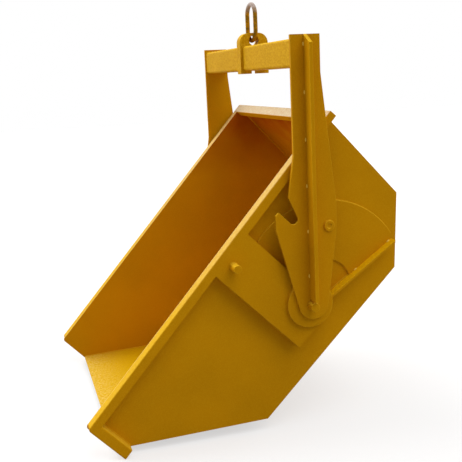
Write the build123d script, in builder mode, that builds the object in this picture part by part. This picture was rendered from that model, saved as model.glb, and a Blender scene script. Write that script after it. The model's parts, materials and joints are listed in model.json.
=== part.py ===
"""Tipping crane skip: a steel tub on two pivots, hung from a bail with a lifting ring.

Millimetres, +Z up.  The origin is where the crane hook bears, at the inner top of the lifting
ring.  X runs along the pivots, the discharge lip faces -Y.  The tub is drawn tipped by TIP, its
floor frame being s (rearward along the floor) and h (up, square to the floor) from the pivots.
"""
import os
from math import cos, hypot, radians, sin, sqrt, tan

from build123d import *

# Pose of the tub
TIP = 45.0

# Lifting ring: a long link bent from round wire
RING_WIRE = 16.0
RING_INNER_LENGTH = 116.0
RING_INNER_WIDTH = 60.0
RING_TWIST = 5.0

# Lifting lug: a saddle round the cross beam
LUG_SIDE_CLEARANCE = 8.0
LUG_LEG = 10.0
LUG_TAB = 11.0
LUG_TAB_GAP = 25.0
LUG_CORNER = 36.0
EYE_CLEARANCE = 0.5
EYE_WEB = 3.0
EYE_WALL = 9.0

# Bail: cross beam between two plate arms with ribs
BEAM_WIDTH = 90.0
BEAM_WALL = 5.0
BEAM_CORNER = 10.0
ARM_WIDTH = 100.0
ARM_THICKNESS = 12.0
ARM_TOP_RISE = 12.0
ARM_DROP = 870.0
ARM_END_RADIUS = 52.0
ARM_END_BACK = 8.0
ARM_END_RISE = 3.0
ARM_FRONT_BEND = 500.0
ARM_REAR_BEND = 762.0
ARM_REAR_REACH = 95.0
ARM_REAR_SHOULDER = 342.0
ARM_REAR_HEEL = 262.0
HOOK_REACH = 116.5
HOOK_TIP_WIDTH = 11.0
HOOK_TIP_RISE = 322.0
HOOK_TIP_ROUND = 5.0
HOOK_SHOULDER_DROP = 10.0
HOOK_HEEL = 264.0
NOTCH_CLEARANCE = 2.0
NOTCH_MOUTH_REACH = 70.0
NOTCH_MOUTH_RISE = 368.0
RIB_THICKNESS = 12.0
RIB_WIDTH = 50.0
RIB_TOP_SLOPE = 27.0
RIB_PIN_GAP = 5.0

# Stop pin through each arm
STOP_PIN_DIAMETER = 24.0
STOP_PIN_REACH = 67.0
STOP_PIN_RISE = 264.0
STOP_PIN_GAP = 3.0
STOP_HEAD_DIAMETER = 36.0
STOP_HEAD_HEIGHT = 6.0
STOP_RECESS_DIAMETER = 16.0
STOP_RECESS_DEPTH = 3.0

# Pivots
PIVOT_PIN_DIAMETER = 30.0
PIVOT_PIN_OUT = 35.0
PIVOT_CLEARANCE = 0.05
PIVOT_SIDE_GAP = 0.5
DISC_DIAMETER = 160.0
DISC_THICKNESS = 15.0

# Tub shell, outside sizes
TUB_WIDTH = 960.0
WALL = 5.0
RIM_RISE = 354.0
RIM_SLOPE = 3.45
RIM_FRONT = 782.0
RIM_REAR = 506.0
LIP_LEAD = 4.0
LIP_DROP = 127.0
FLOOR_DROP = 184.0
FLOOR_FRONT = 392.0
FLOOR_REAR = 297.0
KNEE_REACH = 490.0
KNEE_DROP = 4.0

# Bars along the rim and the front edges
BAR_OUT = 40.0
BAR_WALL = 4.0
BAR_CORNER = 5.0
RIM_BAR_DEPTH = 30.0
FRONT_ROUND = 12.0
REAR_BAR_WIDTH = 40.0
REAR_BAR_DEPTH = 27.0
REAR_BAR_OVERHANG = 12.0
REAR_BAR_CORNER = 2.0
FRONT_BAR_WIDTH = 38.0
FRONT_BAR_SETBACK = 5.0
FRONT_BAR_DROP = 164.0

# Fittings on each side of the tub
BOX_FRONT = 135.0
BOX_REAR = 36.0
BOX_DROP = 80.0
BOX_WALL = 6.0
PEG_DIAMETER = 28.0
PEG_FORWARD = 73.0
PEG_RISE = 291.0
PEG_OUT = 50.0
WEAR_THICKNESS = 6.0
WEAR_INNER_RADIUS = 91.0
WEAR_OUTER_RADIUS = 294.0
WEAR_BACK = 86.0
WEAR_DROP = 21.0
STOP_BAR_THICKNESS = 8.0
STOP_BAR_ANGLE = 10.0
STOP_BAR_DROP = 34.0
STOP_BAR_GAP = 5.0
STOP_BAR_MARGIN = 20.0

# Heights that follow
wire_radius = RING_WIRE / 2
bend_line = RING_INNER_WIDTH / 2 + wire_radius
lug_half = RING_INNER_WIDTH / 2 - LUG_SIDE_CLEARANCE
twist = radians(RING_TWIST)


def eye_reach(turn):
    """How far from the eye's axis the bent wire comes at the lug's face, at one turn round the wire."""
    bend = bend_line - wire_radius * cos(turn)
    aside = wire_radius * sin(turn)
    out = (lug_half + aside * sin(twist)) / cos(twist)
    return hypot(out * sin(twist) + aside * cos(twist), bend_line - sqrt(bend**2 - out**2))


eye_radius = EYE_CLEARANCE + max(eye_reach(radians(turn)) for turn in range(-90, 91))
eye_z = -RING_INNER_LENGTH - wire_radius
beam_top = eye_z - eye_radius - EYE_WEB
beam_bottom = beam_top - BEAM_WIDTH
lug_top = eye_z + eye_radius + EYE_WALL
pivot_z = beam_top - ARM_DROP
arm_top = ARM_DROP + ARM_TOP_RISE

# Stations across the width that follow
side_outside = TUB_WIDTH / 2
side_inside = side_outside - WALL
bar_outside = side_outside + BAR_OUT
disc_outside = bar_outside + DISC_THICKNESS
arm_inside = disc_outside + PIVOT_SIDE_GAP
arm_outside = arm_inside + ARM_THICKNESS
SIDES = (("left", 1), ("right", -1))


def tub_plane(x):
    """The tub's floor frame, across the pivots at station x."""
    tip = radians(TIP)
    return Plane(origin=(x, 0, pivot_z), x_dir=(0, cos(tip), sin(tip)), z_dir=(1, 0, 0))


def arm_plane(x):
    """The hanging arm's own frame, at station x: rearward and up from the pivot."""
    return Plane(origin=(x, 0, pivot_z), x_dir=(0, 1, 0), z_dir=(1, 0, 0))


def rim_point(along, below):
    """A point of the tub given along the rim from above the pivot and square below the rim."""
    slope = radians(RIM_SLOPE)
    rise = along * sin(slope) - below * cos(slope)
    return Vector(along * cos(slope) + below * sin(slope), RIM_RISE + rise)


def stop_point(along, below):
    """A point of the tub given along the stop bar from the pivot and square below that line."""
    slope = radians(STOP_BAR_ANGLE)
    return Vector(along * cos(slope) - below * sin(slope), -along * sin(slope) - below * cos(slope))


def below_rim(point):
    """How far a point of the tub lies square below the rim line."""
    slope = radians(RIM_SLOPE)
    return point.X * sin(slope) - (point.Y - RIM_RISE) * cos(slope)


def unit_normal(start, end):
    """The unit normal on the left of the way from start to end."""
    run = end - start
    return Vector(-run.Y, run.X) / hypot(run.X, run.Y)


def mitre(before, corner, after, wall):
    """The inner corner where two plates of one wall thickness meet."""
    first = unit_normal(before, corner)
    second = unit_normal(corner, after)
    return corner + (first + second) * (wall / (1 + first.dot(second)))


def outer_face(builder, sign):
    """The face of a piece on one side of the tub that looks outwards."""
    return builder.faces().sort_by(Axis((0, 0, 0), (sign, 0, 0)))[-1]


def save(builder, label):
    """Name a finished piece and write its file."""
    builder.part.label = label
    export_step(builder.part, f"parts/{label}.step")


os.makedirs("parts", exist_ok=True)

# Corners of the tub's side, from the rim's front end down, round the floor and up to the rear bar
rim_front = rim_point(-RIM_FRONT, 0)
lip = rim_front + Vector(-LIP_LEAD, -LIP_DROP)
floor_front = Vector(-FLOOR_FRONT, -FLOOR_DROP)
floor_rear = Vector(FLOOR_REAR, -FLOOR_DROP)
knee = Vector(KNEE_REACH, -KNEE_DROP)
rim_rear = rim_point(RIM_REAR, 0)
wall_top = knee + (rim_rear - knee) * (1 - REAR_BAR_DEPTH / below_rim(knee))
bar_seat_front = RIM_REAR + REAR_BAR_OVERHANG - REAR_BAR_WIDTH
bar_seat_rear = RIM_REAR + REAR_BAR_OVERHANG

# Inner corners of the bent shell, with the lip cut square and the top edge cut along the rear bar
rear_wall_normal = unit_normal(knee, wall_top)
lip_inside = lip + unit_normal(lip, floor_front) * WALL
floor_front_inside = mitre(lip, floor_front, floor_rear, WALL)
floor_rear_inside = mitre(floor_front, floor_rear, knee, WALL)
knee_inside = mitre(floor_rear, knee, wall_top, WALL)
rim_direction = rim_point(1, 0) - rim_point(0, 0)
wall_top_inside = wall_top + rim_direction * (WALL / rim_direction.dot(rear_wall_normal))

shell_plates = {
    "front_plate": (lip, floor_front, floor_front_inside, lip_inside),
    "floor_plate": (floor_front, floor_rear, floor_rear_inside, floor_front_inside),
    "rear_slope_plate": (floor_rear, knee, knee_inside, floor_rear_inside),
    "rear_wall": (knee, wall_top, wall_top_inside, knee_inside),
}
for label, outline in shell_plates.items():
    with BuildPart() as plate:
        with BuildSketch(tub_plane(-side_inside)):
            with BuildLine():
                Polyline(*outline, close=True)
            make_face()
        extrude(amount=2 * side_inside)
    save(plate, label)

with BuildPart() as rear_rim_bar:
    with BuildSketch(tub_plane(-bar_outside)):
        with BuildLine():
            Polyline(
                rim_point(bar_seat_front, 0),
                rim_point(bar_seat_rear, 0),
                rim_point(bar_seat_rear, REAR_BAR_DEPTH),
                rim_point(bar_seat_front, REAR_BAR_DEPTH),
                close=True,
            )
        make_face()
    extrude(amount=2 * bar_outside)
    fillet(rear_rim_bar.edges().filter_by(Axis.X), REAR_BAR_CORNER)
save(rear_rim_bar, "rear_rim_bar")

# Rim bars and front edge bars stand back from the front edges; the front bars run down from under
# the rim bars, both ends cut along the rim
front_down = (lip - rim_front) / below_rim(lip)
rim_bar_front = FRONT_BAR_SETBACK - RIM_FRONT
rim_bar_nose = rim_point(rim_bar_front, 0)
front_bar_top = rim_bar_nose + front_down * RIM_BAR_DEPTH
front_bar_foot = rim_bar_nose + front_down * FRONT_BAR_DROP
front_bar_back = rim_direction * FRONT_BAR_WIDTH
pocket_top = front_bar_top + rim_direction * BAR_WALL
pocket_foot = front_bar_foot + rim_direction * BAR_WALL - front_down * BAR_WALL
pocket_back = rim_direction * (FRONT_BAR_WIDTH - 2 * BAR_WALL)

# Corners of the pivot box under the rim bar, and the stop bar's run behind the box
box_top = RIM_RISE - RIM_BAR_DEPTH / cos(radians(RIM_SLOPE))
box_top_front = Vector(-BOX_FRONT, box_top - BOX_FRONT * tan(radians(RIM_SLOPE)))
box_top_rear = Vector(BOX_REAR, box_top + BOX_REAR * tan(radians(RIM_SLOPE)))
stop_bar_under = STOP_BAR_DROP + STOP_BAR_THICKNESS
stop_bar_setback = stop_bar_under * sin(radians(STOP_BAR_ANGLE))
stop_bar_start = (BOX_REAR + STOP_BAR_GAP + stop_bar_setback) / cos(radians(STOP_BAR_ANGLE))


def stop_bar_end(below):
    """The point where a line along the stop bar comes to the margin inside the tub's rear slope."""
    inward = unit_normal(floor_rear, knee)
    start = stop_point(0, below)
    step = stop_point(1, below) - start
    return start + step * ((STOP_BAR_MARGIN - (start - floor_rear).dot(inward)) / step.dot(inward))


stop_bar_top_end = stop_bar_end(STOP_BAR_DROP)

# Corners of the arm; the peg sits in the notch when the rim is level
hook_tip = Vector(HOOK_TIP_WIDTH - HOOK_REACH, HOOK_TIP_RISE)
hook_shoulder = Vector(-HOOK_REACH, HOOK_TIP_RISE - HOOK_SHOULDER_DROP)
hook_heel = Vector(-HOOK_REACH, HOOK_HEEL)
rear_heel = Vector(ARM_REAR_REACH, ARM_REAR_HEEL)
notch_mouth = Vector(-NOTCH_MOUTH_REACH, NOTCH_MOUTH_RISE)
notch_seat = Vector(-PEG_FORWARD, PEG_RISE).rotate(Axis.Z, -RIM_SLOPE)
rib_foot = pivot_z + PIVOT_PIN_DIAMETER / 2 + RIB_PIN_GAP
rib_top = pivot_z + arm_top

for side, sign in SIDES:
    with BuildPart() as side_plate:
        with BuildSketch(tub_plane(sign * side_inside)) as side_profile:
            with BuildLine():
                Polyline(
                    rim_front,
                    lip,
                    floor_front,
                    floor_rear,
                    knee,
                    wall_top,
                    rim_point(bar_seat_front, REAR_BAR_DEPTH),
                    rim_point(bar_seat_front, 0),
                    close=True,
                )
            make_face()
            fillet(side_profile.vertices().sort_by_distance(rim_front)[0], FRONT_ROUND)
            Circle(PIVOT_PIN_DIAMETER / 2, mode=Mode.SUBTRACT)
        extrude(amount=sign * WALL)
    save(side_plate, f"side_plate_{side}")

    with BuildPart() as rim_bar:
        with BuildSketch(tub_plane(sign * side_outside)) as rim_bar_profile:
            with BuildLine():
                Polyline(
                    rim_bar_nose,
                    rim_point(bar_seat_front, 0),
                    rim_point(bar_seat_front, RIM_BAR_DEPTH),
                    front_bar_top,
                    close=True,
                )
            make_face()
            fillet(rim_bar_profile.vertices().sort_by_distance(rim_bar_nose)[0], FRONT_ROUND)
        extrude(amount=sign * BAR_OUT)
        fillet(outer_face(rim_bar, sign).edges().filter_by(GeomType.CIRCLE), BAR_CORNER)
        with BuildSketch(tub_plane(sign * (side_outside + BAR_WALL))):
            with BuildLine():
                Polyline(
                    rim_point(rim_bar_front + FRONT_ROUND, BAR_WALL),
                    rim_point(bar_seat_front, BAR_WALL),
                    rim_point(bar_seat_front, RIM_BAR_DEPTH - BAR_WALL),
                    rim_point(rim_bar_front + FRONT_ROUND, RIM_BAR_DEPTH - BAR_WALL),
                    close=True,
                )
            make_face()
        extrude(amount=sign * (BAR_OUT - 2 * BAR_WALL), mode=Mode.SUBTRACT)
    save(rim_bar, f"rim_bar_{side}")

    with BuildPart() as front_edge_bar:
        with BuildSketch(tub_plane(sign * side_outside)):
            with BuildLine():
                Polyline(
                    front_bar_top,
                    front_bar_foot,
                    front_bar_foot + front_bar_back,
                    front_bar_top + front_bar_back,
                    close=True,
                )
            make_face()
        extrude(amount=sign * BAR_OUT)
        fillet(outer_face(front_edge_bar, sign).edges().group_by(SortBy.LENGTH)[-1], BAR_CORNER)
        with BuildSketch(tub_plane(sign * (side_outside + BAR_WALL))):
            with BuildLine():
                Polyline(
                    pocket_top,
                    pocket_foot,
                    pocket_foot + pocket_back,
                    pocket_top + pocket_back,
                    close=True,
                )
            make_face()
        extrude(amount=sign * (BAR_OUT - 2 * BAR_WALL), mode=Mode.SUBTRACT)
    save(front_edge_bar, f"front_edge_bar_{side}")

    # Pivot box: a pan with its open side against the side plate and its top under the rim bar
    with BuildPart() as pivot_box:
        with BuildSketch(tub_plane(sign * side_outside)) as box_outline:
            with BuildLine():
                Polyline(
                    (-BOX_FRONT, -BOX_DROP),
                    (BOX_REAR, -BOX_DROP),
                    box_top_rear,
                    box_top_front,
                    close=True,
                )
            make_face()
        extrude(amount=sign * BAR_OUT)
        with BuildSketch(tub_plane(sign * side_outside)):
            offset(box_outline.sketch_local.faces()[0], -BOX_WALL)
        extrude(amount=sign * (BAR_OUT - BOX_WALL), mode=Mode.SUBTRACT)
        with BuildSketch(tub_plane(sign * side_outside)):
            Circle(PIVOT_PIN_DIAMETER / 2)
        extrude(amount=sign * BAR_OUT, mode=Mode.SUBTRACT)
    save(pivot_box, f"pivot_box_{side}")

    with BuildPart() as wear_plate:
        with BuildSketch(tub_plane(sign * side_outside)):
            with Locations((WEAR_BACK, -WEAR_DROP)):
                Circle(WEAR_OUTER_RADIUS)
                Circle(WEAR_INNER_RADIUS, mode=Mode.SUBTRACT)
            with BuildLine():
                Polyline(
                    (BOX_REAR, -STOP_BAR_DROP),
                    box_top_rear,
                    rim_point(RIM_REAR, RIM_BAR_DEPTH),
                    stop_bar_top_end + knee - floor_rear,
                    stop_bar_top_end,
                    stop_point(stop_bar_start, STOP_BAR_DROP),
                    close=True,
                )
            make_face(mode=Mode.INTERSECT)
        extrude(amount=sign * WEAR_THICKNESS)
    save(wear_plate, f"wear_plate_{side}")

    with BuildPart() as stop_bar:
        with BuildSketch(tub_plane(sign * side_outside)):
            with BuildLine():
                Polyline(
                    stop_point(stop_bar_start, STOP_BAR_DROP),
                    stop_bar_top_end,
                    stop_bar_end(stop_bar_under),
                    stop_point(stop_bar_start, stop_bar_under),
                    close=True,
                )
            make_face()
        extrude(amount=sign * BAR_OUT)
    save(stop_bar, f"stop_bar_{side}")

    with BuildPart() as latch_peg:
        with BuildSketch(tub_plane(sign * bar_outside)):
            with Locations((-PEG_FORWARD, PEG_RISE)):
                Circle(PEG_DIAMETER / 2)
        extrude(amount=sign * PEG_OUT)
    save(latch_peg, f"latch_peg_{side}")

    with BuildPart() as pivot_disc:
        with BuildSketch(tub_plane(sign * bar_outside)):
            Circle(DISC_DIAMETER / 2)
            Circle(PIVOT_PIN_DIAMETER / 2, mode=Mode.SUBTRACT)
        extrude(amount=sign * DISC_THICKNESS)
    save(pivot_disc, f"pivot_disc_{side}")

    with BuildPart() as pivot_pin:
        with BuildSketch(tub_plane(sign * side_inside)):
            Circle(PIVOT_PIN_DIAMETER / 2)
        extrude(amount=sign * (arm_outside + PIVOT_PIN_OUT - side_inside))
    save(pivot_pin, f"pivot_pin_{side}")

    # Arm: straight top, hook and notch in front, tapering to a round end at the pivot
    with BuildPart() as arm:
        with BuildSketch(arm_plane(sign * arm_inside)) as arm_profile:
            with BuildLine():
                Polyline(
                    (-ARM_WIDTH / 2, arm_top),
                    (-ARM_WIDTH / 2, ARM_FRONT_BEND),
                    notch_mouth,
                    hook_tip,
                    hook_shoulder,
                    hook_heel,
                    rear_heel,
                    (ARM_REAR_REACH, ARM_REAR_SHOULDER),
                    (ARM_WIDTH / 2, ARM_REAR_BEND),
                    (ARM_WIDTH / 2, arm_top),
                    close=True,
                )
            make_face()
            with BuildLine() as taper:
                CenterArc((ARM_END_BACK, ARM_END_RISE), ARM_END_RADIUS, 0, 360)
                Line(hook_heel, rear_heel)
            make_hull(taper.edges())
            with BuildLine() as notch:
                CenterArc(notch_seat, PEG_DIAMETER / 2 + NOTCH_CLEARANCE, 0, 360)
                Line(notch_mouth, hook_tip)
            make_hull(notch.edges(), mode=Mode.SUBTRACT)
            for corner in (hook_tip, hook_shoulder):
                fillet(arm_profile.vertices().sort_by_distance(corner)[0], HOOK_TIP_ROUND)
            Circle(PIVOT_PIN_DIAMETER / 2 + PIVOT_CLEARANCE, mode=Mode.SUBTRACT)
            with Locations((STOP_PIN_REACH, STOP_PIN_RISE)):
                Circle(STOP_PIN_DIAMETER / 2, mode=Mode.SUBTRACT)
        extrude(amount=sign * ARM_THICKNESS)
    save(arm, f"arm_{side}")

    with BuildPart() as arm_rib:
        with BuildSketch(Plane.XZ):
            with BuildLine():
                Polyline(
                    (sign * arm_outside, rib_foot),
                    (sign * arm_outside, rib_top),
                    (sign * (arm_outside + RIB_WIDTH), rib_top - RIB_TOP_SLOPE),
                    (sign * (arm_outside + RIB_WIDTH), rib_foot),
                    close=True,
                )
            make_face()
        extrude(amount=RIB_THICKNESS / 2, both=True)
    save(arm_rib, f"arm_rib_{side}")

    with BuildPart() as stop_pin:
        with BuildSketch(arm_plane(sign * (side_outside + WEAR_THICKNESS + STOP_PIN_GAP))):
            with Locations((STOP_PIN_REACH, STOP_PIN_RISE)):
                Circle(STOP_PIN_DIAMETER / 2)
        extrude(amount=sign * (arm_outside - side_outside - WEAR_THICKNESS - STOP_PIN_GAP))
        with BuildSketch(arm_plane(sign * arm_outside)):
            with Locations((STOP_PIN_REACH, STOP_PIN_RISE)):
                Circle(STOP_HEAD_DIAMETER / 2)
        extrude(amount=sign * STOP_HEAD_HEIGHT)
        with BuildSketch(arm_plane(sign * (arm_outside + STOP_HEAD_HEIGHT - STOP_RECESS_DEPTH))):
            with Locations((STOP_PIN_REACH, STOP_PIN_RISE)):
                Circle(STOP_RECESS_DIAMETER / 2)
        extrude(amount=sign * STOP_RECESS_DEPTH, mode=Mode.SUBTRACT)
    save(stop_pin, f"stop_pin_{side}")

beam_bore = BEAM_WIDTH - 2 * BEAM_WALL
with BuildPart() as cross_beam:
    with BuildSketch(Plane.YZ.offset(-arm_inside)):
        with Locations((0, beam_top - BEAM_WIDTH / 2)):
            RectangleRounded(BEAM_WIDTH, BEAM_WIDTH, BEAM_CORNER)
            RectangleRounded(beam_bore, beam_bore, BEAM_CORNER - BEAM_WALL, mode=Mode.SUBTRACT)
    extrude(amount=2 * arm_inside)
save(cross_beam, "cross_beam")

lug_width = BEAM_WIDTH + 2 * LUG_LEG
lug_bottom = beam_bottom - LUG_TAB
with BuildPart() as lifting_lug:
    with BuildSketch(Plane.YZ) as lug_profile:
        with Locations((0, (lug_top + lug_bottom) / 2)):
            Rectangle(lug_width, lug_top - lug_bottom)
        fillet(lug_profile.vertices().group_by(Axis.Y)[-1], LUG_CORNER)
        with Locations((0, beam_top - BEAM_WIDTH / 2)):
            RectangleRounded(BEAM_WIDTH, BEAM_WIDTH, BEAM_CORNER, mode=Mode.SUBTRACT)
        with Locations((0, beam_bottom - LUG_TAB / 2)):
            Rectangle(LUG_TAB_GAP, LUG_TAB, mode=Mode.SUBTRACT)
        with Locations((0, eye_z)):
            Circle(eye_radius, mode=Mode.SUBTRACT)
    extrude(amount=lug_half, both=True)
save(lifting_lug, "lifting_lug")

# Lifting ring: two straight legs joined by half turns, hanging through the eye of the lug
ring_plane = Plane(
    origin=(0, 0, 0),
    x_dir=(cos(twist), sin(twist), 0),
    z_dir=(sin(twist), -cos(twist), 0),
)
upper_centre = -RING_INNER_WIDTH / 2
lower_centre = eye_z + bend_line
with BuildPart() as lifting_ring:
    with BuildLine(ring_plane) as ring_path:
        right_leg = Line((bend_line, lower_centre), (bend_line, upper_centre))
        CenterArc((0, upper_centre), bend_line, 0, 180)
        Line((-bend_line, upper_centre), (-bend_line, lower_centre))
        CenterArc((0, lower_centre), bend_line, 180, 180)
    with BuildSketch(Plane(origin=right_leg @ 0, x_dir=-ring_plane.x_dir, z_dir=right_leg % 0)):
        Circle(wire_radius)
    sweep(path=ring_path.line)
save(lifting_ring, "lifting_ring")
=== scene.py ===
"""Looks of a tipping crane skip: eased edges, weld beads, ochre paint and a plain studio stage."""
import json
from math import radians
from typing import NamedTuple

import bmesh
import bpy
from bpy.props import FloatProperty, FloatVectorProperty, IntProperty, PointerProperty
from mathutils import Matrix, Vector
from mathutils.bvhtree import BVHTree

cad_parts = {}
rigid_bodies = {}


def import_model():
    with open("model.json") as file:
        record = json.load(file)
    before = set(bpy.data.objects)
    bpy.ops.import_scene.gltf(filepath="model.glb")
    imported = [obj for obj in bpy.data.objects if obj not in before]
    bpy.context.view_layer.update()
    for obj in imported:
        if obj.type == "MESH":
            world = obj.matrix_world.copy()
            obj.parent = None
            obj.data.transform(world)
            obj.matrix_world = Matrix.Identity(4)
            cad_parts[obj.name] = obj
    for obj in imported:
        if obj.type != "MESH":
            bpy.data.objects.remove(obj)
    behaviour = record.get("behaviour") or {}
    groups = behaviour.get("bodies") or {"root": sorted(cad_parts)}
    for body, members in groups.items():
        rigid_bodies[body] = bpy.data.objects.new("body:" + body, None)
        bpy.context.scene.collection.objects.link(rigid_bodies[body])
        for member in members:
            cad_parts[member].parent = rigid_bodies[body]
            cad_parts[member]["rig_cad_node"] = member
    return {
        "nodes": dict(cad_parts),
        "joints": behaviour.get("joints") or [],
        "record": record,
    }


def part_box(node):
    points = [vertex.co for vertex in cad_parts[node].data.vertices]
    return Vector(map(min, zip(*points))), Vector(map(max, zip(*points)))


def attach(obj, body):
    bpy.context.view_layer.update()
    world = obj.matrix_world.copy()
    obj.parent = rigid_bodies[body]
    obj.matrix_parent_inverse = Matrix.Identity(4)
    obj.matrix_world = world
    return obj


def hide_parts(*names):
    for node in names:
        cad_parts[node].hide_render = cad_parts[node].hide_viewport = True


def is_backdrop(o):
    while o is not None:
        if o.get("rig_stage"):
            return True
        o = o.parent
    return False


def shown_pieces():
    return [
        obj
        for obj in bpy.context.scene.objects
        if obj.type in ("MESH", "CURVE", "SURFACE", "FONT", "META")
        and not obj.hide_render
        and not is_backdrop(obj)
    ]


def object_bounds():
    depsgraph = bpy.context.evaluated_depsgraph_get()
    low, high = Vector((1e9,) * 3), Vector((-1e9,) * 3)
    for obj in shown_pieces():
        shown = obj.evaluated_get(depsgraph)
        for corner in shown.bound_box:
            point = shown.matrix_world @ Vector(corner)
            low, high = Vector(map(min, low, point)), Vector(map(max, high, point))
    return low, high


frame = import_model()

bl_info = {
    "name": "Tipping crane skip",
    "version": (1, 0, 0),
    "blender": (4, 5, 0),
    "location": "View3D > Sidebar > Skip",
    "description": "Eases the edges, lays the weld beads, paints the skip and sets its stage",
    "category": "Object",
}

CAD_BOX = [list(corner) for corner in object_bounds()]
SIDES = (("left", 1), ("right", -1))
EASED = "eased"

# Lengths in metres
MERGE = 1e-6  # corners nearer than this are one
FLAT = 1e-5  # a corner this near a station lies on it, and a shorter edge is dropped
TOUCH = 1e-4  # surfaces and corners this near touch
CLEAR = 1e-3  # a bead ends this far from a piece that is in its way
INSET = 1e-3  # how far inside its face an edge looks for a neighbour
LAMP_DISTANCE = 4.0

STATIONS = 12  # steps along an edge at which it looks for a neighbour
DECIMALS = 5  # kept of a corner's place, so that the corners of two faces compare
BEAD_ROUNDING = 1  # extra points on each quarter of a bead's round
SENSOR_WIDTH = 36.0  # of the camera, in millimetres

BODIES = frame["record"]["behaviour"]["bodies"]
BODY_OF_NODE = {node: body for body, nodes in BODIES.items() for node in nodes}
TIP = next(joint for joint in frame["joints"] if joint["name"] == "tub_tip")
PIVOT = Vector(TIP["pos_m"])
FULL_TIP = radians(TIP["range_deg"][1])

SIDE_INSIDE, SIDE_OUTSIDE = (corner.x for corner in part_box("side_plate_left"))
ARM_INSIDE, ARM_OUTSIDE = (corner.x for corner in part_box("arm_left"))
BOX_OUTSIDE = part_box("pivot_box_left")[1].x
PAD_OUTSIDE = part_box("wear_plate_left")[1].x
LUG_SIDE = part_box("lifting_lug")[1].x
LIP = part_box("front_plate")[0].y
TUB_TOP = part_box("side_plate_left")[1].z

SHELL_PLATES = ("front_plate", "floor_plate", "rear_slope_plate", "rear_wall")
PIN_NODES = ("latch_peg", "pivot_pin", "stop_pin", "pivot_disc")


class Mottle(NamedTuple):
    """A noise in the paint: its scale per metre, its detail and the limits between which it fades in."""

    scale: float
    detail: float
    low: float
    high: float


CLOUDS = Mottle(scale=5.0, detail=4.0, low=0.35, high=0.65)
FINE_GRAIN = Mottle(scale=330.0, detail=3.0, low=0.42, high=0.72)
COARSE_GRAIN = Mottle(scale=150.0, detail=3.0, low=0.38, high=0.66)
# patches of the tops painted paler: partly rubbing, partly painted light
RUBBED_AND_LIT_TOP_PATCHES = Mottle(scale=95.0, detail=8.0, low=0.30, high=0.65)
EDGE_PATCHES = Mottle(scale=70.0, detail=4.0, low=0.35, high=0.65)
SCUFF_FLECKS = Mottle(scale=150.0, detail=6.0, low=0.38, high=0.64)
# patches of the painted shade high inside the tub
PAINTED_SHADE_PATCHES = Mottle(scale=9.0, detail=4.0, low=0.20, high=0.60)
RING_PATCHES = Mottle(scale=60.0, detail=5.0, low=0.35, high=0.70)

RUBBED_AND_LIT_TOP_LEAST = 0.6  # share of the paler tops, partly rubbing and partly painted light, that is left between the patches
EDGE_LEAST = 0.3  # share of the edges' rubbing and painted highlight that is left between its patches
PAINTED_SHADE_LEAST = 0.6  # share of the painted shade that is left between its patches
TOP_SLOPE = (0.35, 0.65)  # a normal's Z from which a face begins to be a top, and from which it is one
INWARD = 0.1  # a normal's Y under which a face can look into the tub
SCUFF_FALL = 2.0  # power by which the scuffs thin out behind the lip
# heights between which the painted shade inside the tub grows
PAINTED_SHADE_HEIGHTS = (PIVOT.z + 0.33, TUB_TOP)
# heights between which dust and painted sheen grow on the rims' tops
DUST_AND_SHEEN_HEIGHTS = (PIVOT.z, TUB_TOP)
RING_WEAR_HEIGHTS = (-0.012, 0.018)  # where the ring's paint begins to wear and where it is gone
RING_WEAR_SPREAD = 0.03  # how far patches shift those heights
RING_WEAR_SCALE = 45.0
RING_WEAR_DETAIL = 4.0
PEEL_DETAIL = 2.0
PEEL_STRENGTH = 0.5
FLOOR_ROUGHNESS = 0.9


class SkipEdgeSettings(bpy.types.PropertyGroup):
    """How the sharp edges of plates, bars and pins are eased."""

    plate_edge: FloatProperty(
        name="Plate edge", description="Width of the eased edge of a plate or bar",
        default=0.0014, unit="LENGTH",
    )
    pin_edge: FloatProperty(
        name="Pin edge", description="Width of the eased end of a pin, peg or disc",
        default=0.002, unit="LENGTH",
    )
    segments: IntProperty(
        name="Steps", description="Flats across an eased edge",
        default=3, min=1, max=4,
    )
    sharp_angle: FloatProperty(
        name="Sharp from", description="Edges that turn by more than this are eased",
        default=radians(35), subtype="ANGLE",
    )
    flat_angle: FloatProperty(
        name="Flat up to", description="Facets that turn by less than this are one face",
        default=radians(0.2), subtype="ANGLE",
    )


class SkipWeldSettings(bpy.types.PropertyGroup):
    """Sizes of the weld beads."""

    fillet: FloatProperty(
        name="Fillet", description="Radius of a fillet weld's bead",
        default=0.004, unit="LENGTH",
    )
    seam: FloatProperty(
        name="Seam", description="Radius of the bead along the shell's seams",
        default=0.0035, unit="LENGTH",
    )
    seal: FloatProperty(
        name="Seal", description="Radius of the thin bead round a pin",
        default=0.0025, unit="LENGTH",
    )
    ripple_pitch: FloatProperty(
        name="Ripple pitch", description="Distance from one ripple of a bead to the next",
        default=0.006, unit="LENGTH",
    )
    ripple: FloatProperty(
        name="Ripple", description="How far a bead narrows between two ripples",
        default=0.22, subtype="FACTOR", min=0, max=1,
    )
    bead_end: FloatProperty(
        name="Bead end", description="Thickness of a bead's end beside its middle",
        default=0.55, subtype="FACTOR", min=0, max=1,
    )
    stitch: FloatProperty(
        name="Stitch", description="Length of one stitch of a broken weld",
        default=0.015, unit="LENGTH",
    )
    stitch_bead: FloatProperty(
        name="Stitch bead", description="Radius of a stitch's bead",
        default=0.004, unit="LENGTH",
    )
    rib_pitch: FloatProperty(
        name="Rib pitch", description="Distance from one stitch to the next along a rib",
        default=0.150, unit="LENGTH",
    )
    bar_pitch: FloatProperty(
        name="Bar pitch", description="Distance from one stitch to the next along a stop bar",
        default=0.075, unit="LENGTH",
    )


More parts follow.
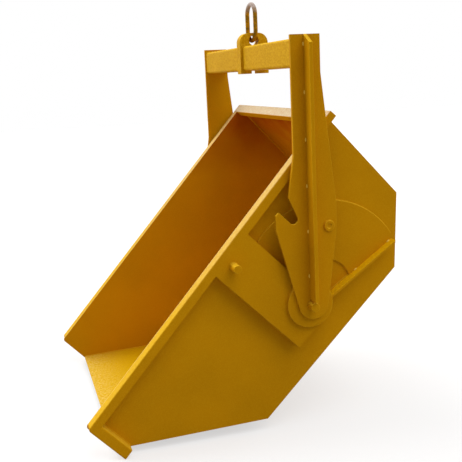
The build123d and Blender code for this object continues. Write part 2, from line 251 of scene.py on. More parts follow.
class SkipPaintSettings(bpy.types.PropertyGroup):
    """Colours and grain of the paint."""

    ochre: FloatVectorProperty(
        name="Ochre", description="Main colour of the paint",
        default=(0.60, 0.262, 0.0015), subtype="COLOR", size=3,
    )
    # Also the paint of the wear plates' edge beads, there a painted highlight along those edges
    sunned: FloatVectorProperty(
        name="Sunned ochre", description="Paint bleached on the beam and the lug",
        default=(0.59, 0.287, 0.002), subtype="COLOR", size=3,
    )
    # The front plate's upturned face: polish from the load, and painted light on that lit face
    polished: FloatVectorProperty(
        name="Polished ochre", description="Paint that the load has polished on the front plate",
        default=(0.74, 0.45, 0.002), subtype="COLOR", size=3,
    )
    # Painted light: the tops of the stop bars drawn bright because they face the light
    struck: FloatVectorProperty(
        name="Struck ochre", description="Bright paint on the stop bars, where the stop pins land",
        default=(0.98, 0.60, 0.004), subtype="COLOR", size=3,
    )
    # Paint rubbed thin; on the tops and eased edges this colour is also painted light
    rubbed: FloatVectorProperty(
        name="Rubbed ochre", description="Paint where it is rubbed thin",
        default=(0.76, 0.46, 0.02), subtype="COLOR", size=3,
    )
    # Dust, and a painted sheen where the tops of the rear bar and the rims catch the light
    dusty: FloatVectorProperty(
        name="Dusty ochre", description="Paint under dust on the rear bar and the rims",
        default=(0.84, 0.75, 0.54), subtype="COLOR", size=3,
    )
    # Also the colour of the side plates' top edges, there a painted highlight
    scuffed: FloatVectorProperty(
        name="Scuffed ochre", description="Paint scuffed by the load at the lip",
        default=(0.82, 0.60, 0.15), subtype="COLOR", size=3,
    )
    # Painted glint: the weld stitches drawn bright as if they catch the light
    stitch_ochre: FloatVectorProperty(
        name="Stitch ochre", description="Thin paint on the weld stitches",
        default=(0.95, 0.66, 0.11), subtype="COLOR", size=3,
    )
    # Painted shade high up inside the tub, mottled
    stained: FloatVectorProperty(
        name="Stained ochre", description="Paint stained by the load, high up inside the tub",
        default=(0.34, 0.045, 0.001), subtype="COLOR", size=3,
    )
    ring_brown: FloatVectorProperty(
        name="Ring brown", description="Darker paint of the ring",
        default=(0.22, 0.125, 0.012), subtype="COLOR", size=3,
    )
    bare_steel: FloatVectorProperty(
        name="Bare steel", description="Steel where the hook has rubbed the ring",
        default=(0.48, 0.38, 0.33), subtype="COLOR", size=3,
    )
    roughness: FloatProperty(
        name="Roughness", description="Roughness of the sound paint",
        default=0.46, subtype="FACTOR", min=0, max=1,
    )
    rubbed_roughness: FloatProperty(
        name="Rubbed roughness", description="Roughness of the rubbed paint",
        default=0.62, subtype="FACTOR", min=0, max=1,
    )
    gloss: FloatProperty(
        name="Gloss", description="How strongly the paint mirrors",
        default=0.008, subtype="FACTOR", min=0, max=1,
    )
    thick: FloatProperty(
        name="Thick paint", description="Brightness of the paint where it lies thick",
        default=0.91, subtype="FACTOR", min=0, max=1,
    )
    # How far the tops turned up are painted paler: partly rubbing, partly painted light
    top_rub: FloatProperty(
        name="Rubbed tops", description="How far the tops are rubbed pale",
        default=0.85, subtype="FACTOR", min=0, max=1,
    )
    # How far dust and painted sheen pale the rims' tops towards their rear ends
    rim_dust: FloatProperty(
        name="Dust on the rims", description="How far dust pales the rims at their rear ends",
        default=0.45, subtype="FACTOR", min=0, max=1,
    )
    # How far the eased edges are painted paler: partly rubbing, partly a painted highlight
    edge_rub: FloatProperty(
        name="Rubbed edges", description="How far the eased edges are rubbed pale",
        default=0.45, subtype="FACTOR", min=0, max=1,
    )
    grain: FloatProperty(
        name="Grain", description="How strongly dry spray grains the paint",
        default=0.22, subtype="FACTOR", min=0, max=1,
    )
    coarse_grain: FloatProperty(
        name="Coarse grain", description="How strongly dry spray grains the sunned paint",
        default=0.60, subtype="FACTOR", min=0, max=1,
    )
    scuff_reach: FloatProperty(
        name="Scuff reach", description="How far the scuffs reach back from the lip",
        default=0.22, unit="LENGTH",
    )
    # Strength of the painted shade high up inside the tub
    stain: FloatProperty(
        name="Stain", description="How strongly the load has stained the inside",
        default=1.0, subtype="FACTOR", min=0, max=1,
    )
    peel_scale: FloatProperty(
        name="Peel scale", description="Dimples of the sprayed paint per metre",
        default=260.0, min=1,
    )
    peel_depth: FloatProperty(
        name="Peel depth", description="Depth of the dimples",
        default=0.0003, unit="LENGTH",
    )


class SkipStageSettings(bpy.types.PropertyGroup):
    """Camera, floor and lamps."""

    camera_place: FloatVectorProperty(
        name="Camera", description="Where the camera stands",
        default=PIVOT + Vector((2.9592, -0.9390, 0.7559)), subtype="TRANSLATION", size=3,
    )
    camera_turn: FloatVectorProperty(
        name="Camera turn", description="How the camera is turned",
        default=(radians(79.184), radians(2.567), radians(73.979)), subtype="EULER", size=3,
    )
    camera_lens: FloatProperty(
        name="Lens", description="Focal length in millimetres",
        default=62.34, min=1,
    )
    floor_size: FloatProperty(
        name="Floor", description="Side of the floor",
        default=40.0, unit="LENGTH",
    )
    floor_colour: FloatVectorProperty(
        name="Floor colour", description="Colour of the floor",
        default=(0.40, 0.40, 0.40), subtype="COLOR", size=3,
    )
    floor_glow: FloatProperty(
        name="Floor glow", description="White that the floor adds where the eye meets it",
        default=0.6, min=0,
    )
    sky_bright: FloatProperty(
        name="Bright sky", description="Light from the bright side",
        default=0.90, min=0,
    )
    sky_dark: FloatProperty(
        name="Dark sky", description="Light from the dark side",
        default=0.16, min=0,
    )
    sky_dark_side: FloatVectorProperty(
        name="Dark side", description="The way to the dark side of the sky",
        default=(0.80, -0.45, -0.40), subtype="DIRECTION", size=3,
    )
    key_strength: FloatProperty(
        name="Key", description="Strength of the key lamp",
        default=2.5, min=0,
    )
    key_softness: FloatProperty(
        name="Key softness", description="Width of the key lamp in the sky",
        default=radians(70), subtype="ANGLE",
    )
    key_from: FloatVectorProperty(
        name="Key from", description="The way to the key lamp",
        default=(-0.60, -0.60, 0.53), subtype="DIRECTION", size=3,
    )
    fill_strength: FloatProperty(
        name="Fill", description="Strength of the fill lamp",
        default=1.2, min=0,
    )
    fill_softness: FloatProperty(
        name="Fill softness", description="Width of the fill lamp in the sky",
        default=radians(50), subtype="ANGLE",
    )
    fill_from: FloatVectorProperty(
        name="Fill from", description="The way to the fill lamp",
        default=(0.45, 0.33, 0.83), subtype="DIRECTION", size=3,
    )


def make_active(obj):
    """Select one object alone."""
    bpy.ops.object.select_all(action="DESELECT")
    obj.select_set(True)
    bpy.context.view_layer.objects.active = obj


def skin(*nodes):
    """A search tree over the surfaces of CAD nodes."""
    corners = []
    faces = []
    for node in nodes:
        mesh = frame["nodes"][node].data
        first = len(corners)
        corners.extend(vertex.co.copy() for vertex in mesh.vertices)
        faces.extend([first + corner for corner in face.vertices] for face in mesh.polygons)
    return BVHTree.FromPolygons(corners, faces)


def near(surface, point, distance):
    """Whether a surface lies within a distance of a point."""
    return surface.find_nearest(point, distance)[0] is not None


def seated(edge, neighbours):
    """Whether a neighbour lies on a face beside an edge."""
    for loop in edge.link_loops:
        start = loop.vert.co
        end = loop.link_loop_next.vert.co
        inward = loop.face.normal.cross(end - start).normalized() * INSET
        places = (start.lerp(end, step / STATIONS) + inward for step in range(1, STATIONS))
        if any(near(neighbours, place, TOUCH) for place in places):
            return True
    return False


def select_free_edges(piece, node, sharp_angle):
    """Select a piece's sharp edges that lie against no neighbour of its body, and give their number."""
    neighbours = skin(*(other for other in BODIES[BODY_OF_NODE[node]] if other != node))
    bpy.ops.mesh.select_mode(type="EDGE")
    bpy.ops.mesh.select_all(action="DESELECT")
    shape = bmesh.from_edit_mesh(piece.data)
    free = [
        edge for edge in shape.edges
        if edge.calc_face_angle(0) > sharp_angle and not seated(edge, neighbours)
    ]
    for edge in free:
        edge.select_set(True)
    bmesh.update_edit_mesh(piece.data)
    return len(free)


def mark_eased_faces(piece):
    """Keep which faces the bevel made, as an attribute that the paint reads."""
    shape = bmesh.from_edit_mesh(piece.data)
    eased = shape.faces.layers.float.new(EASED)
    for face in shape.faces:
        face[eased] = face.material_index
        face.material_index = 0
    bmesh.update_edit_mesh(piece.data)


def eased_copy(node, settings):
    """Make a copy of a CAD node as one skin, its free edges eased, that stands for the node."""
    make_active(frame["nodes"][node])
    bpy.ops.object.duplicate()
    piece = bpy.context.active_object
    piece.name = f"{node}_eased"
    del piece["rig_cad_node"]
    # The bevel gives its faces the second slot, which mark_eased_faces reads
    piece.data.materials.clear()
    piece.data.materials.append(None)
    piece.data.materials.append(None)
    bpy.ops.mesh.customdata_custom_splitnormals_clear()
    bpy.ops.object.mode_set(mode="EDIT")
    bpy.ops.mesh.select_all(action="SELECT")
    bpy.ops.mesh.remove_doubles(threshold=MERGE)
    bpy.ops.mesh.dissolve_limited(angle_limit=settings.flat_angle)
    if select_free_edges(piece, node, settings.sharp_angle):
        width = settings.pin_edge if node.startswith(PIN_NODES) else settings.plate_edge
        bpy.ops.mesh.bevel(
            offset=width, segments=settings.segments, affect="EDGES", material=1, miter_outer="ARC"
        )
        bpy.ops.mesh.select_all(action="SELECT")
        bpy.ops.mesh.dissolve_degenerate(threshold=FLAT)
    mark_eased_faces(piece)
    bpy.ops.object.mode_set(mode="OBJECT")
    bpy.ops.object.shade_smooth_by_angle(angle=settings.sharp_angle)
    flats = piece.modifiers.new("flat faces", "WEIGHTED_NORMAL")
    flats.keep_sharp = True
    bpy.ops.object.modifier_apply(modifier=flats.name)
    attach(piece, BODY_OF_NODE[node])
    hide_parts(node)


def path_length(points):
    """Length of a path through the points."""
    return sum((b - a).length for a, b in zip(points, points[1:]))


def closed(loop):
    """A loop as a path that ends where it starts."""
    return loop + loop[:1]


def outline_on(node, x):
    """The longest outline of a CAD node's flat face at station x, as points in order."""
    mesh = frame["nodes"][node].data
    corners = [tuple(round(c, DECIMALS) for c in vertex.co) for vertex in mesh.vertices]
    uses = {}
    for face in mesh.polygons:
        ring = [corners[i] for i in face.vertices]
        if all(abs(corner[0] - x) < FLAT for corner in ring):
            for edge in zip(ring, ring[1:] + ring[:1]):
                uses[frozenset(edge)] = uses.get(frozenset(edge), 0) + 1
    links = {}
    for edge, count in uses.items():
        if count == 1:
            start, end = sorted(edge)
            links.setdefault(start, []).append(end)
            links.setdefault(end, []).append(start)
    loops = []
    while links:
        loop = [min(links)]
        ahead = links.pop(loop[0])
        while any(corner in links for corner in ahead):
            loop.append(next(corner for corner in ahead if corner in links))
            ahead = links.pop(loop[-1])
        loops.append([Vector(corner) for corner in loop])
    return max(loops, key=lambda loop: path_length(closed(loop)))


def long_edges(loop):
    """The two longest straight edges of a loop."""
    return sorted(zip(loop, closed(loop)[1:]), key=path_length)[-2:]


def end_to_end(edges):
    """One path along edges that follow each other."""
    path = list(edges[0])
    for edge in edges[1:]:
        if min((corner - path[0]).length for corner in edge) < TOUCH:
            path.reverse()
        path.append(max(edge, key=lambda corner: (corner - path[-1]).length))
    return path


def evenly(points, pitch):
    """Points along a path at an even pitch, its corners kept."""
    even = []
    for a, b in zip(points, points[1:]):
        steps = max(1, round((b - a).length / pitch))
        even.extend(a.lerp(b, i / steps) for i in range(steps))
    return even + [points[-1]]


def runs_where(points, keep):
    """The stretches of a path whose points pass a test."""
    runs = [[]]
    for point in points:
        if keep(point):
            runs[-1].append(point)
        elif runs[-1]:
            runs.append([])
    return [run for run in runs if len(run) > 1]


def laid(path, welds, on=(), off=()):
    """The stretches of a path that lie on some CAD nodes and clear of others."""
    held = [skin(node) for node in on]
    barred = [skin(node) for node in off]
    runs = runs_where(
        evenly(path, welds.ripple_pitch / 2),
        lambda point: all(near(surface, point, TOUCH) for surface in held)
        and not any(near(surface, point, CLEAR) for surface in barred),
    )
    if len(runs) > 1 and (runs[-1][-1] - runs[0][0]).length < MERGE:
        runs[0] = runs.pop() + runs[0][1:]
    return runs


def stitches(points, start, pitch, welds):
    """Short stretches of a path from a start on, one to each pitch."""
    gone = [0.0]
    for a, b in zip(points, points[1:]):
        gone.append(gone[-1] + (b - a).length)
    at = dict(zip((tuple(point) for point in points), gone))
    return runs_where(points, lambda point: (at[tuple(point)] - start) % pitch <= welds.stitch)


def lay_beads(name, paths, radius, body, welds):
    """Lay rippled beads along the paths, as one mesh."""
    bpy.ops.object.select_all(action="DESELECT")
    bpy.ops.curve.primitive_nurbs_path_add(location=(0, 0, 0))
    bead = bpy.context.active_object
    bead.name = name
    curve = bead.data
    curve.splines.clear()
    curve.bevel_depth = radius
    curve.bevel_resolution = BEAD_ROUNDING
    curve.use_fill_caps = True
    for path in paths:
        points = evenly(path, welds.ripple_pitch / 2)
        all_round = (points[-1] - points[0]).length < MERGE
        if all_round:
            points.pop()
        spline = curve.splines.new("POLY")
        spline.use_cyclic_u = all_round
        spline.points.add(len(points) - 1)
        for number, (knot, place) in enumerate(zip(spline.points, points)):
            knot.co = (*place, 1)
            knot.radius = 1 - welds.ripple * (number % 2)
        if not all_round:
            spline.points[0].radius = welds.bead_end
            spline.points[-1].radius = welds.bead_end
    bpy.ops.object.convert(target="MESH")
    bead = bpy.context.active_object
    bpy.ops.object.shade_smooth()
    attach(bead, body)


class SKIP_OT_ease_edges(bpy.types.Operator):
    """Ease the free edges of every plate, bar and pin"""

    bl_idname = "skip.ease_edges"
    bl_label = "Ease edges"

    def execute(self, context):
        for node in sorted(frame["nodes"]):
            eased_copy(node, context.scene.skip_edges)
        return {"FINISHED"}


class SKIP_OT_bail_welds(bpy.types.Operator):
    """Weld the beam, the ribs and the stop pins to the arms, and the lug round the beam"""

    bl_idname = "skip.bail_welds"
    bl_label = "Bail welds"

    def execute(self, context):
        welds = context.scene.skip_welds
        fillets = []
        dabs = []
        seals = []
        for side, sign in SIDES:
            beam = closed(outline_on("cross_beam", sign * ARM_INSIDE))
            fillets.append(beam)
            beside_lug = [Vector((sign * LUG_SIDE, point.y, point.z)) for point in beam]
            fillets.extend(laid(beside_lug, welds, on=["lifting_lug"]))
            for foot in long_edges(outline_on(f"arm_rib_{side}", sign * ARM_OUTSIDE)):
                upwards = evenly(sorted(foot, key=lambda corner: corner.z), welds.ripple_pitch / 2)
                dabs.extend(stitches(upwards, welds.rib_pitch / 2, welds.rib_pitch, welds))
            seals.append(closed(outline_on(f"stop_pin_{side}", sign * ARM_OUTSIDE)))
        lay_beads("bail_weld_beads", fillets, welds.fillet, "bail", welds)
        lay_beads("rib_stitch_beads", dabs, welds.stitch_bead, "bail", welds)
        lay_beads("stop_pin_seal_beads", seals, welds.seal, "bail", welds)
        return {"FINISHED"}


class SKIP_OT_fitting_welds(bpy.types.Operator):
    """Weld the boxes, pegs, discs, wear plates and stop bars to the tub's sides"""

    bl_idname = "skip.fitting_welds"
    bl_label = "Fitting welds"

    def execute(self, context):
        welds = context.scene.skip_welds
        fillets = []
        arcs = []
        dabs = []
        seals = []
        for side, sign in SIDES:
            plate, box, bar, pad, rim = (
                f"{name}_{side}" for name in ("side_plate", "pivot_box", "stop_bar", "wear_plate", "rim_bar")
            )
            seats = ((box, [rim], fillets), (bar, [pad, box], fillets), (pad, [rim, bar, box], arcs))
            for fitting, others, beads in seats:
                path = closed(outline_on(fitting, sign * SIDE_OUTSIDE))
                beads.extend(laid(path, welds, on=[plate], off=others))
            for fitting in (f"latch_peg_{side}", f"pivot_disc_{side}"):
                seals.extend(laid(closed(outline_on(fitting, sign * BOX_OUTSIDE)), welds, on=[box]))
            pin_low, pin_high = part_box(f"stop_pin_{side}")
            arm_to_pin = (pin_low + pin_high) / 2 - PIVOT
            landing = PIVOT + Matrix.Rotation(-FULL_TIP, 3, "X") @ arm_to_pin
            room = (pin_high.y - pin_low.y) / 2 + 2 * welds.fillet
            for run in laid(closed(outline_on(pad, sign * PAD_OUTSIDE)), welds, on=[bar]):
                start = (path_length(run) % welds.bar_pitch) / 2
                for stitch in stitches(run, start, welds.bar_pitch, welds):
                    dabs.extend(runs_where(stitch, lambda point: (point - landing).yz.length > room))
        lay_beads("fitting_weld_beads", fillets, welds.fillet, "tub", welds)
        lay_beads("wear_plate_weld_beads", arcs, welds.seal, "tub", welds)
        lay_beads("stop_bar_stitch_beads", dabs, welds.stitch_bead, "tub", welds)
        lay_beads("peg_and_disc_seal_beads", seals, welds.seal, "tub", welds)
        return {"FINISHED"}


class SKIP_OT_shell_welds(bpy.types.Operator):
    """Weld the shell's plates, the bars round the tub and the inner ends of the pivot pins"""

    bl_idname = "skip.shell_welds"
    bl_label = "Shell welds"

    def execute(self, context):
        welds = context.scene.skip_welds
        seams = []
        for side, sign in SIDES:
            plate, box, rim, front_bar = (
                f"{name}_{side}" for name in ("side_plate", "pivot_box", "rim_bar", "front_edge_bar")
            )
            inner_edges = []
            for shell_plate in SHELL_PLATES:
                edges = long_edges(outline_on(shell_plate, sign * SIDE_INSIDE))
                inner_edges.append(min(edges, key=lambda edge: ((edge[0] + edge[1]) / 2 - PIVOT).length))
            seams.append(end_to_end(inner_edges))
            rim_edges = long_edges(outline_on(rim, sign * SIDE_OUTSIDE))
            rim_under = min(rim_edges, key=lambda edge: (edge[0] + edge[1]).z)
            seams.extend(laid(rim_under, welds, on=[plate], off=[box, front_bar, "rear_rim_bar"]))
            for edge in long_edges(outline_on(front_bar, sign * SIDE_OUTSIDE)):
                seams.extend(laid(edge, welds, on=[plate], off=[rim]))
            seams.append(closed(outline_on(f"pivot_pin_{side}", sign * SIDE_INSIDE)))
        rear_bar = skin("rear_rim_bar")
        for corner in outline_on("rear_wall", SIDE_INSIDE):
            if near(rear_bar, corner, TOUCH):
                seams.append([corner, Vector((-SIDE_INSIDE, corner.y, corner.z))])
        lay_beads("shell_weld_beads", seams, welds.seam, "tub", welds)
        return {"FINISHED"}


def new_paint(name):
    """A new material, its node tree and its shader."""
    material = bpy.data.materials.new(name)
    material.use_nodes = True
    return material, material.node_tree, material.node_tree.nodes["Principled BSDF"]


def put(tree, value, socket):
    """Feed a socket from a number, a colour or another socket."""
    if isinstance(value, bpy.types.NodeSocket):
        tree.links.new(value, socket)
    elif socket.type == "RGBA":
        socket.default_value = (*value, 1)
    else:
        socket.default_value = value


def add_math(tree, operation, first, second):
    """A sum on two numbers or sockets."""
    sum_node = tree.nodes.new("ShaderNodeMath")
    sum_node.operation = operation
    put(tree, first, sum_node.inputs[0])
    put(tree, second, sum_node.inputs[1])
    return sum_node.outputs["Value"]


def add_noise(tree, scale, detail):
    """A noise texture on the piece's own coordinates."""
    place = tree.nodes.new("ShaderNodeTexCoord")
    noise = tree.nodes.new("ShaderNodeTexNoise")
    noise.inputs["Scale"].default_value = scale
    noise.inputs["Detail"].default_value = detail
    tree.links.new(place.outputs["Object"], noise.inputs["Vector"])
    return noise.outputs["Fac"]


def add_axis(tree, source, axis):
    """One axis of the piece's own coordinates or of its normal."""
    place = tree.nodes.new("ShaderNodeTexCoord")
    split = tree.nodes.new("ShaderNodeSeparateXYZ")
    tree.links.new(place.outputs[source], split.inputs["Vector"])
    return split.outputs[axis]


def add_ramp(tree, factor, low, high, start=0.0, end=1.0):
    """A ramp that turns a factor between low and high into start to end."""
    ramp = tree.nodes.new("ShaderNodeMapRange")
    ramp.inputs["From Min"].default_value = low
    ramp.inputs["From Max"].default_value = high
    ramp.inputs["To Min"].default_value = start
    ramp.inputs["To Max"].default_value = end
    tree.links.new(factor, ramp.inputs["Value"])
    return ramp.outputs["Result"]


def add_mottle(tree, mottle, start=0.0, end=1.0):
    """A noise that fades from start to end between its limits."""
    return add_ramp(tree, add_noise(tree, mottle.scale, mottle.detail), mottle.low, mottle.high, start, end)


def add_mix(tree, factor, first, second):
    """A mix of two colours; each is a colour or a socket."""
    mix = tree.nodes.new("ShaderNodeMix")
    mix.data_type = "RGBA"
    tree.links.new(factor, mix.inputs["Factor"])
    for name, value in (("A", first), ("B", second)):
        put(tree, value, next(s for s in mix.inputs if s.name == name and s.type == "RGBA"))
    return next(s for s in mix.outputs if s.type == "RGBA")


def add_peel(tree, shader, settings):
    """The dimpled skin of sprayed paint."""
    bump = tree.nodes.new("ShaderNodeBump")
    bump.inputs["Strength"].default_value = PEEL_STRENGTH
    bump.inputs["Distance"].default_value = settings.peel_depth
    tree.links.new(add_noise(tree, settings.peel_scale, PEEL_DETAIL), bump.inputs["Height"])
    tree.links.new(bump.outputs["Normal"], shader.inputs["Normal"])


def add_dust_and_sheen(tree, settings):
    """Paler tops towards the rear of the rims: dust, and a painted sheen where they face the light."""
    return add_ramp(tree, add_axis(tree, "Object", "Z"), *DUST_AND_SHEEN_HEIGHTS, 0.0, settings.rim_dust)


def add_scuffs(tree, settings):
    """Scuffs that the load leaves as it slides over the lip."""
    towards_lip = add_ramp(tree, add_axis(tree, "Object", "Y"), LIP + settings.scuff_reach, LIP)
    thinning = add_math(tree, "POWER", towards_lip, SCUFF_FALL)
    return add_math(tree, "MULTIPLY", thinning, add_mottle(tree, SCUFF_FLECKS))


def add_painted_shade(tree, settings):
    """Painted shade in patches, high up on the faces that look into the tub."""
    across = add_math(tree, "ABSOLUTE", add_axis(tree, "Object", "X"), 0.0)
    inside = add_math(tree, "LESS_THAN", across, (SIDE_INSIDE + SIDE_OUTSIDE) / 2)
    inwards = add_math(tree, "LESS_THAN", add_axis(tree, "Normal", "Y"), INWARD)
    height = add_ramp(tree, add_axis(tree, "Object", "Z"), *PAINTED_SHADE_HEIGHTS, 0.0, settings.stain)
    stain = add_math(tree, "MULTIPLY", height, add_mottle(tree, PAINTED_SHADE_PATCHES, start=PAINTED_SHADE_LEAST))
    return add_math(tree, "MULTIPLY", add_math(tree, "MULTIPLY", inside, inwards), stain)


def ochre_paint(
    settings, name, colour, top_colour=None, coarse=False, dusted=False, scuffed=False, stained=False
):
    """Sprayed ochre paint: clouded and grained; tops and eased edges painted paler, partly rubbing and
    partly painted light; where asked, dust and painted sheen on the rims, scuffs at the lip, and painted
    shade high inside the tub.
    """
    material, tree, shader = new_paint(name)
    thick = [settings.thick * channel for channel in colour]
    body = add_mix(tree, add_mottle(tree, CLOUDS), thick, colour)
    if coarse:
        grain = add_mottle(tree, COARSE_GRAIN, end=settings.coarse_grain)
    else:
        grain = add_mottle(tree, FINE_GRAIN, end=settings.grain)
    shade = add_mix(tree, grain, body, settings.rubbed)
    # Tops turned up are painted paler, partly rubbing and partly painted light; the same mask makes the
    # paint rougher there
    facing_up = add_ramp(tree, add_axis(tree, "Normal", "Z"), *TOP_SLOPE, 0.0, settings.top_rub)
    dry = add_math(tree, "MULTIPLY", facing_up, add_mottle(tree, RUBBED_AND_LIT_TOP_PATCHES, start=RUBBED_AND_LIT_TOP_LEAST))
    top = top_colour or settings.rubbed
    # Tops pale towards the rims' rear: dust and painted sheen
    if dusted:
        top = add_mix(tree, add_dust_and_sheen(tree, settings), top, settings.dusty)
    shade = add_mix(tree, dry, shade, top)
    # Eased edges painted paler: partly rubbing, partly a painted highlight
    eased = tree.nodes.new("ShaderNodeAttribute")
    eased.attribute_name = EASED
    edge_rub = add_mottle(tree, EDGE_PATCHES, EDGE_LEAST * settings.edge_rub, settings.edge_rub)
    edges = add_math(tree, "MULTIPLY", eased.outputs["Fac"], edge_rub)
    shade = add_mix(tree, edges, shade, settings.rubbed)
    dry = add_math(tree, "MAXIMUM", dry, edges)
    if scuffed:
        scuffs = add_math(tree, "MULTIPLY", facing_up, add_scuffs(tree, settings))
        shade = add_mix(tree, scuffs, shade, settings.scuffed)
        dry = add_math(tree, "MAXIMUM", dry, scuffs)
    # Painted shade high up inside the tub
    if stained:
        shade = add_mix(tree, add_painted_shade(tree, settings), shade, settings.stained)
    tree.links.new(shade, shader.inputs["Base Color"])
    roughness = add_ramp(tree, dry, 0.0, 1.0, settings.roughness, settings.rubbed_roughness)
    tree.links.new(roughness, shader.inputs["Roughness"])
    shader.inputs["Specular IOR Level"].default_value = settings.gloss
    add_peel(tree, shader, settings)
    return material


def ring_paint(settings):
    """The ring's paint, darker, and rubbed to bare steel where the hook bears."""
    material, tree, shader = new_paint("ring_paint")
    body = add_mix(tree, add_mottle(tree, RING_PATCHES), settings.ring_brown, settings.ochre)
    wear = add_noise(tree, RING_WEAR_SCALE, RING_WEAR_DETAIL)
    patchy = add_math(tree, "MULTIPLY", wear, RING_WEAR_SPREAD)
    height = add_math(tree, "ADD", add_axis(tree, "Object", "Z"), patchy)
    worn = add_ramp(tree, height, *RING_WEAR_HEIGHTS)
    tree.links.new(add_mix(tree, worn, body, settings.bare_steel), shader.inputs["Base Color"])
    roughness = add_ramp(tree, worn, 0.0, 1.0, settings.rubbed_roughness, settings.roughness)
    tree.links.new(roughness, shader.inputs["Roughness"])
    shader.inputs["Specular IOR Level"].default_value = settings.gloss
    add_peel(tree, shader, settings)
    return material


class SKIP_OT_paint(bpy.types.Operator):
    """Paint every piece"""

    bl_idname = "skip.paint"
    bl_label = "Paint"

    def execute(self, context):
        settings = context.scene.skip_paint
        paint = ochre_paint(settings, "ochre_paint", settings.ochre)
        sunned = ochre_paint(settings, "sunned_ochre_paint", settings.sunned, coarse=True)
        # Painted glint on the weld stitches
        pale = ochre_paint(settings, "pale_ochre_paint", settings.stitch_ochre, settings.stitch_ochre)
        # Painted shade high up inside the tub
        stained = ochre_paint(settings, "stained_ochre_paint", settings.ochre, stained=True)
        # Stop bars: painted light on their tops
        struck = ochre_paint(settings, "struck_ochre_paint", settings.ochre, settings.struck)
        # Rims and rear bar: dust and painted sheen on their tops
        rims = ochre_paint(settings, "rim_ochre_paint", settings.ochre, dusted=True)
        rear_bar = ochre_paint(settings, "dusted_ochre_paint", settings.ochre, settings.dusty)
        # Front plate: scuffs at the lip, and polish with painted light on its upturned face
        front = ochre_paint(settings, "scuffed_ochre_paint", settings.ochre, settings.polished, scuffed=True)
        # Side plates: top edges painted pale as a highlight, with dust and painted sheen towards the rear
        # and painted shade high inside
        sides = ochre_paint(
            settings, "side_ochre_paint", settings.ochre, settings.scuffed, dusted=True, stained=True
        )
        finishes = {
            "lifting_ring_eased": ring_paint(settings),
            "lifting_lug_eased": sunned,
            "cross_beam_eased": sunned,
            # wear plates' edge beads: paler paint as a painted highlight along the plates' edges
            "wear_plate_weld_beads": sunned,
            # weld stitches with a painted glint
            "rib_stitch_beads": pale,
            "stop_bar_stitch_beads": pale,
            "front_plate_eased": front,
            "rear_rim_bar_eased": rear_bar,
            # stop bars with painted light on their tops
            "stop_bar_left_eased": struck,
            "stop_bar_right_eased": struck,
            "rim_bar_left_eased": rims,
            "rim_bar_right_eased": rims,
            "side_plate_left_eased": sides,
            "side_plate_right_eased": sides,
            # rear plates with painted shade high inside the tub
            "rear_slope_plate_eased": stained,
            "rear_wall_eased": stained,
        }
        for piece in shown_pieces():
            piece.data.materials.clear()
            piece.data.materials.append(finishes.get(piece.name, paint))
        return {"FINISHED"}


def add_lamp(name, way, strength, softness):
    """A wide, far lamp that shines on the skip from one way."""
    way = Vector(way).normalized()
    bpy.ops.object.light_add(type="SUN", location=PIVOT + way * LAMP_DISTANCE)
    lamp = bpy.context.active_object
    lamp.name = name
    lamp.data.energy = strength
    lamp.data.angle = softness
    lamp.rotation_euler = (-way).to_track_quat("-Z", "Y").to_euler()


def seen_by_eye(tree):
    """1 on rays that the camera sees straight, in a gloss or through glass."""
    rays = tree.nodes.new("ShaderNodeLightPath")
    mirrored = add_math(tree, "MAXIMUM", rays.outputs["Is Glossy Ray"], rays.outputs["Is Transmission Ray"])
    return add_math(tree, "MAXIMUM", rays.outputs["Is Camera Ray"], mirrored)


def floor_paint(stage):
    """A pale floor that shows white where the eye meets it and keeps the shadow."""
    material, tree, shader = new_paint("floor_paint")
    shader.inputs["Base Color"].default_value = (*stage.floor_colour, 1)
    shader.inputs["Roughness"].default_value = FLOOR_ROUGHNESS
    shader.inputs["Specular IOR Level"].default_value = 0
    glow = tree.nodes.new("ShaderNodeEmission")
    shown = tree.nodes.new("ShaderNodeAddShader")
    tree.links.new(add_math(tree, "MULTIPLY", seen_by_eye(tree), stage.floor_glow), glow.inputs["Strength"])
    tree.links.new(shader.outputs["BSDF"], shown.inputs[0])
    tree.links.new(glow.outputs["Emission"], shown.inputs[1])
    tree.links.new(shown.outputs["Shader"], tree.nodes["Material Output"].inputs["Surface"])
    return material


def sky_world(stage):
    """Soft light that fades towards the dark side, and white where the eye meets it."""
    world = bpy.data.worlds.new("sky")
    world.use_nodes = True
    tree = world.node_tree
    place = tree.nodes.new("ShaderNodeTexCoord")
    facing = tree.nodes.new("ShaderNodeVectorMath")
    facing.operation = "DOT_PRODUCT"
    facing.inputs[1].default_value = Vector(stage.sky_dark_side).normalized()
    tree.links.new(place.outputs["Generated"], facing.inputs[0])
    fade = add_ramp(tree, facing.outputs["Value"], -1.0, 1.0, stage.sky_bright, stage.sky_dark)
    light = tree.nodes["Background"]
    light.inputs["Color"].default_value = (1, 1, 1, 1)
    tree.links.new(add_math(tree, "MAXIMUM", fade, seen_by_eye(tree)), light.inputs["Strength"])
    return world


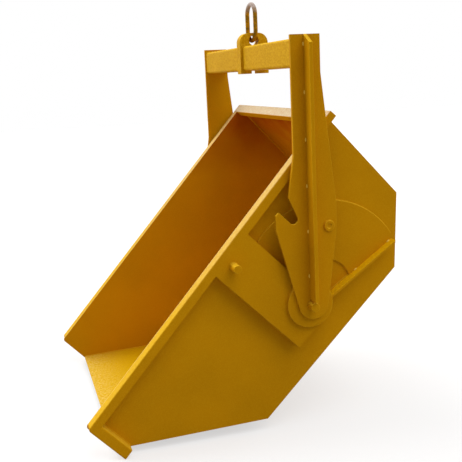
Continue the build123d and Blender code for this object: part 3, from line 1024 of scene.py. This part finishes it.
class SKIP_OT_stage(bpy.types.Operator):
    """Set the floor, the lamps and the camera"""

    bl_idname = "skip.stage"
    bl_label = "Stage"

    def execute(self, context):
        stage = context.scene.skip_stage
        bpy.ops.object.select_all(action="DESELECT")
        bpy.ops.mesh.primitive_plane_add(size=stage.floor_size, location=(0, 0, CAD_BOX[0][2]))
        floor_plane = context.active_object
        floor_plane.name = "floor"
        floor_plane.data.materials.append(floor_paint(stage))
        floor_plane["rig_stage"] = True
        context.scene.world = sky_world(stage)
        add_lamp("key", stage.key_from, stage.key_strength, stage.key_softness)
        add_lamp("fill", stage.fill_from, stage.fill_strength, stage.fill_softness)
        bpy.ops.object.camera_add(location=stage.camera_place, rotation=stage.camera_turn)
        camera = context.active_object
        camera.data.lens = stage.camera_lens
        camera.data.sensor_width = SENSOR_WIDTH
        context.scene.camera = camera
        context.scene.view_settings.view_transform = "Standard"
        return {"FINISHED"}


class SKIP_PT_panel(bpy.types.Panel):
    """The skip's steps in the sidebar"""

    bl_idname = "SKIP_PT_panel"
    bl_label = "Tipping crane skip"
    bl_space_type = "VIEW_3D"
    bl_region_type = "UI"
    bl_category = "Skip"

    def draw(self, context):
        for step in STEPS:
            self.layout.operator(step.bl_idname)


SETTINGS = {
    "skip_edges": SkipEdgeSettings,
    "skip_welds": SkipWeldSettings,
    "skip_paint": SkipPaintSettings,
    "skip_stage": SkipStageSettings,
}
STEPS = (
    SKIP_OT_ease_edges,
    SKIP_OT_bail_welds,
    SKIP_OT_fitting_welds,
    SKIP_OT_shell_welds,
    SKIP_OT_paint,
    SKIP_OT_stage,
)


def register():
    """Add the settings, the steps and the panel to Blender."""
    for settings in SETTINGS.values():
        bpy.utils.register_class(settings)
    for name, settings in SETTINGS.items():
        setattr(bpy.types.Scene, name, PointerProperty(type=settings))
    for step in (*STEPS, SKIP_PT_panel):
        bpy.utils.register_class(step)


def unregister():
    """Take the panel, the steps and the settings out of Blender."""
    for step in reversed((*STEPS, SKIP_PT_panel)):
        bpy.utils.unregister_class(step)
    for name, settings in SETTINGS.items():
        delattr(bpy.types.Scene, name)
        bpy.utils.unregister_class(settings)


def main():
    """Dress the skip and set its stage."""
    register()
    bpy.ops.skip.ease_edges()
    bpy.ops.skip.bail_welds()
    bpy.ops.skip.fitting_welds()
    bpy.ops.skip.shell_welds()
    bpy.ops.skip.paint()
    bpy.ops.skip.stage()


if __name__ == "__main__":
    main()
